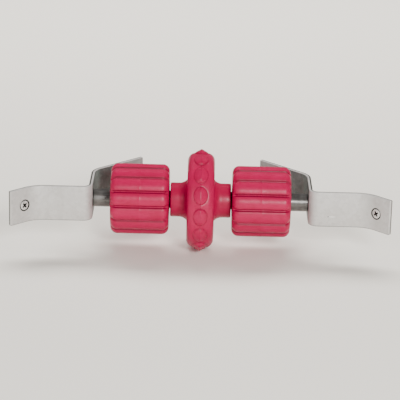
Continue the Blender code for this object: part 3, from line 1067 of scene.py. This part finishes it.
def build_bolt(material):
    """Hexagon head on the left, and a rod threaded along its length that ends beyond the nut."""
    head_out, bolt_out = span("through_bolt", 0)
    head_in = span("head_washer", 0)[0] - SEAT_GAP
    work = bmesh.new()
    add_hexagon(work, head_in, head_out)
    bolt = object_of("clamp_bolt", mesh_of("clamp_bolt", work, AXLE))
    rod = bmesh.new()
    ends = (head_in - 1 * MM, bolt_out - 0.2 * MM)
    add_threaded(rod, *ends, BOLT_ROOT, BOLT_THREAD_DEEP, BOLT_PITCH, around=24)
    shank = object_of("shank", mesh_of("shank", rod, AXLE))
    boolean(bolt, "UNION", shank)
    bake(bolt)
    remove(shank)
    dull_all_over(bolt)
    finish_piece(bolt, material, "frame", ["through_bolt"], 30)


def build_washers(material):
    """The two plain washers, with their outer edges softened."""
    for name in ("head_washer", "nut_washer"):
        start, end = span(name, 0)
        radius = (span(name, 2)[1] - span(name, 2)[0]) / 2
        soft = 0.35 * MM
        section = [(start, BOLT_HOLE), (start, radius - soft), (start + soft, radius)]
        section += [(end - soft, radius), (end, radius - soft), (end, BOLT_HOLE)]
        work = bmesh.new()
        turned(work, section, TURNED_AROUND)
        washer = object_of(f"plain_{name}", mesh_of(name, work, AXLE))
        dull_all_over(washer)
        finish_piece(washer, material, "frame", [name])


def build_lock_nut(steel, nylon):
    """A chamfered nut whose round collar is rolled over its nylon ring."""
    nut_in, collar_out = span("lock_nut", 0)
    ring_in, ring_out = span("lock_nut_ring", 0)
    nut_out = ring_in - SEAT_GAP
    work = bmesh.new()
    add_hexagon(work, nut_in, nut_out, NUT_BORE, both=True)
    hexagon = object_of("lock_nut_steel", mesh_of("hexagon", work, AXLE))
    collar_in = nut_out - 2 * MM
    collar = [(collar_in, COLLAR_SEAT), (collar_in, COLLAR_RADIUS), (nut_out + 1.2 * MM, COLLAR_RADIUS)]
    collar += arc((collar_out - COLLAR_LIP, COLLAR_RADIUS - COLLAR_LIP), COLLAR_LIP, math.pi / 2, 0, 5)
    collar += [(collar_out - 0.1 * MM, 5.9 * MM), (collar_out - 0.25 * MM, COLLAR_SEAT)]
    round_part = bmesh.new()
    turned(round_part, collar, TURNED_AROUND)
    tool = object_of("collar", mesh_of("collar", round_part, AXLE))
    boolean(hexagon, "UNION", tool)
    bake(hexagon)
    remove(tool)
    dull_all_over(hexagon)
    finish_piece(hexagon, steel, "frame", ["lock_nut"], 30)

    insert = bmesh.new()
    ring_end = ring_out - SEAT_GAP
    section = [(ring_in, NUT_BORE), (ring_in, INSERT_RADIUS)]
    section += [(ring_end, INSERT_RADIUS), (ring_end, NUT_BORE)]
    turned(insert, section, TURNED_AROUND)
    ring = object_of("lock_nut_insert", mesh_of("insert", insert, AXLE))
    finish_piece(ring, nylon, "frame", ["lock_nut_ring"])


# Axle and sleeves ---------------------------------------------------------------------------------


def build_tube(material):
    """The tube between the brackets, with a painted dark red shade on it in the gaps beside the centre
    roller.
    """
    start, end = span("axle_tube", 0)
    radius = (span("axle_tube", 2)[1] - span("axle_tube", 2)[0]) / 2
    soft = 0.5 * MM
    section = [(start, TUBE_BORE), (start, radius - soft)]
    section += [(x, radius) for x in steps(start + soft, end - soft, 120)]
    section += [(end, radius - soft), (end, TUBE_BORE)]
    work = bmesh.new()
    turned(work, section, TUBE_AROUND)
    tube = object_of("spacer_tube", mesh_of("tube", work, AXLE))
    gap = (span("right_fluted_roller", 0)[0] + span("centre_knob_roller", 0)[1]) / 2
    # Painted dark red shade in the gaps between the rollers
    gap_shade = [smooth_step(5 * MM, 2 * MM, abs(abs(vert.co.x) - gap)) for vert in tube.data.vertices]
    tube.data.attributes.new("gap_shade", "FLOAT", "POINT").data.foreach_set("value", gap_shade)
    finish_piece(tube, material, "frame", ["axle_tube"])


def build_sleeve(hand, material):
    """A nylon sleeve that slides on the tube and carries its roller."""
    node = f"{hand}_sleeve"
    start, end = span(node, 0)
    outer = (span(node, 2)[1] - span(node, 2)[0]) / 2
    bore = outer - SLEEVE_THICK
    soft = 0.3 * MM
    section = [(start, bore + soft), (start, outer - soft), (start + soft, outer), (end - soft, outer)]
    section += [(end, outer - soft), (end, bore + soft), (end - soft, bore), (start + soft, bore)]
    work = bmesh.new()
    turned(work, section, TURNED_AROUND)
    sleeve = object_of(f"{hand}_bearing_sleeve", mesh_of("sleeve", work, AXLE))
    finish_piece(sleeve, material, f"{hand}_slider", [node])


# Rollers ------------------------------------------------------------------------------------------


def bore_radius(hand):
    """A roller's bore: its sleeve's outside and the running gap."""
    low, high = span(f"{hand}_sleeve", 2)
    return (high - low) / 2 + RUNNING_GAP


def roller_place(node, turn):
    """From the origin to the middle of a roller's node, turned round the axle."""
    return Matrix.Translation((middle(node, 0), AXLE_Y, 0)) @ Matrix.Rotation(-turn, 4, "X")


def build_fluted_roller(hand, turn, tree, material):
    """A roller of rounded ribs with narrow grooves between them, and a fine parting line round it."""
    node = f"{hand}_fluted_roller"
    start, end = span(node, 0)
    half = (end - start) / 2
    radius = ROLLER_RADIUS
    bore = bore_radius(hand)
    lip = BORE_LIP
    straight = half - ROLLER_EDGE
    rim = radius - ROLLER_EDGE
    section = [(-half + lip, bore), (-half, bore + lip), (-half, (bore + rim) / 2)]
    section += arc((-straight, rim), ROLLER_EDGE, math.pi, math.pi / 2, 12)
    section += [(x, radius) for x in steps(-straight, -3 * FLASH_HALF_WIDE, 10)[1:]]
    section += [(x, radius) for x in steps(-FLASH_HALF_WIDE, FLASH_HALF_WIDE, 2)]
    section += [(x, radius) for x in steps(3 * FLASH_HALF_WIDE, straight, 10)[:-1]]
    section += arc((straight, rim), ROLLER_EDGE, math.pi / 2, 0, 12)
    section += [(half, (bore + rim) / 2), (half, bore + lip), (half - lip, bore)]
    pitch = 2 * math.pi * radius / RIBS
    groove = GROOVE_HALF_WIDE / pitch

    def shape(x, r, share):
        if r <= rim:
            return x, r, 0.0, 0.0
        from_groove = min(share, 1 - share)
        wall = smooth_step(GROOVE_FLOOR, 1, from_groove / groove)
        drop = RIB_DROP * (1 - 2 * from_groove) ** 2 + GROOVE_DEEP * (1 - wall)
        out_along = math.copysign(max(0.0, abs(x) - straight) / ROLLER_EDGE, x)
        out_round = (r - rim) / ROLLER_EDGE
        drop *= smooth_step(0, 0.6, out_round)
        flash = FLASH_HIGH * smooth_step(2 * FLASH_HALF_WIDE, 0, abs(x))
        on_floor = 1 - smooth_step(0.5 * GROOVE_FLOOR, GROOVE_FLOOR, from_groove / groove)
        # Painted shade on the groove walls
        on_wall = smooth_step(1.15, 0.75, from_groove / groove) * (1 - on_floor)
        proud = max(smooth_step(groove, 3 * groove, from_groove), on_floor) * out_round
        return x - drop * out_along, r - drop * out_round + flash, proud, 0.8 * on_wall * out_round

    near = steps(0, groove * 1.2, 12)
    across = steps(groove * 1.2, 0.5, 8)[1:]
    rising = near + across
    shares = rising + [1 - share for share in rising[-2::-1]]
    work = bmesh.new()
    add_sector(work, section, shares, RIBS, shape)
    roller = object_of(f"{hand}_ribbed_roller", mesh_of("rib", work))
    run_tree(roller, tree, Count=RIBS, Weld=WELD, Material=material)
    roller.data.transform(roller_place(node, turn))
    finish_piece(roller, material, f"{hand}_roller", [node], 50)


def knob_section(half_hub, bore):
    """Closed outline of the knobbed roller: hub, neck fillet, flank, shoulder and rim, mirrored."""
    neck_x = RIM_HALF + NECK_FILLET * math.sin(NECK_FILLET_ANGLE)
    start = -math.pi / 2
    half = [(half_hub - BORE_LIP, bore), (half_hub, bore + BORE_LIP)]
    half += arc((half_hub - HUB_EDGE, HUB_RADIUS - HUB_EDGE), HUB_EDGE, 0, math.pi / 2, 4)
    half += arc((neck_x, HUB_RADIUS + NECK_FILLET), NECK_FILLET, start, start - NECK_FILLET_ANGLE, 8)
    fillet_top = half[-1][1]
    shoulder_x = RIM_HALF - RIM_SHOULDER + RIM_SHOULDER * math.cos(RIM_SHOULDER_ANGLE)
    shoulder_r = rim_radius(shoulder_x) - RIM_SHOULDER * math.sin(RIM_SHOULDER_ANGLE)
    half += [(RIM_HALF, r) for r in steps(fillet_top + 0.6 * MM, shoulder_r, 3)[:-1]]
    half += arc((RIM_HALF - RIM_SHOULDER, shoulder_r), RIM_SHOULDER, 0, RIM_SHOULDER_ANGLE, 10)
    edge = half[-1][0]
    half += [(x, rim_radius(x)) for x in steps(edge, SEAM_HALF_WIDE, 22)[1:]]
    return half + [(0, rim_radius(0))] + [(-x, r) for x, r in half[::-1]]


def rim_radius(x):
    """The rim rises to a ridge at its middle."""
    return RIM_RADIUS - RIM_SLOPE * abs(x)


def build_knob_roller(tree, material):
    """A disc on a necked hub, with oval ridged knobs round its rim and a fine ring about each."""
    node = "centre_knob_roller"
    start, end = span(node, 0)
    section = knob_section((end - start) / 2, bore_radius("centre"))
    pitch = 2 * math.pi / KNOBS
    on_rim = rim_radius(RIM_HALF) - RIM_SHOULDER * 0.7
    knob_size = (KNOB_HALF_WIDE + KNOB_HALF_LONG) / 2

    def shape(x, r, share):
        if r < on_rim:
            return x, r, 0.0, 0.0
        along = (share - 0.5) * pitch * RIM_RADIUS
        away = math.hypot(x / KNOB_HALF_WIDE, along / KNOB_HALF_LONG)
        from_edge = (away - 1) * knob_size
        inside = smooth_step(0, -0.9 * MM, from_edge)
        roof = max(0.0, 1 - abs(x) / KNOB_HALF_WIDE)
        roof *= max(0.0, 1 - (along / KNOB_HALF_LONG) ** 4)
        knob = inside * (KNOB_EDGE_HIGH + (KNOB_HIGH - KNOB_EDGE_HIGH) * roof)
        ring = max(0.0, 1 - (from_edge / KNOB_GROOVE_WIDE) ** 2) ** 2
        seam = 1.0 if abs(x) < SEAM_HALF_WIDE / 2 else 0.0
        proud = inside * smooth_step(1.0, 0.2, away) + 0.5 * smooth_step(0.5 * MM, 2 * MM, from_edge)
        # Painted shade in the ring round each knob and along the seam
        shade_share = max(0.36 * ring, 0.7 * seam)
        radius = r + knob - KNOB_GROOVE_DEEP * ring - SEAM_DEEP * seam
        return x, radius, min(1.0, proud), shade_share

    work = bmesh.new()
    add_sector(work, section, steps(0, 1, KNOB_ROWS), KNOBS, shape)
    roller = object_of("knobbed_disc_roller", mesh_of("knob", work))
    run_tree(roller, tree, Count=KNOBS, Weld=WELD, Material=material)
    roller.data.transform(roller_place(node, KNOB_TURN - pitch / 2))
    finish_piece(roller, material, "centre_roller", [node], 50)


# The whole object ---------------------------------------------------------------------------------


def build():
    strap, steel, plated = zinc_strap(), axle_steel(), bright_zinc()
    rubber, nylon = red_rubber(), white_nylon()
    ring_tree, copies_tree = sector_ring_tree(), placed_copies_tree()
    build_bracket("left", LEFT, strap)
    build_bracket("right", RIGHT, strap)
    build_screws(copies_tree, plated)
    build_tube(steel)
    build_bolt(plated)
    build_washers(plated)
    build_lock_nut(plated, nylon)
    for hand in ("left", "centre", "right"):
        build_sleeve(hand, nylon)
    build_fluted_roller("left", LEFT_ROLLER_TURN, ring_tree, rubber)
    build_fluted_roller("right", RIGHT_ROLLER_TURN, ring_tree, rubber)
    build_knob_roller(ring_tree, rubber)


add_camera()
add_lights()
add_floor()
build()
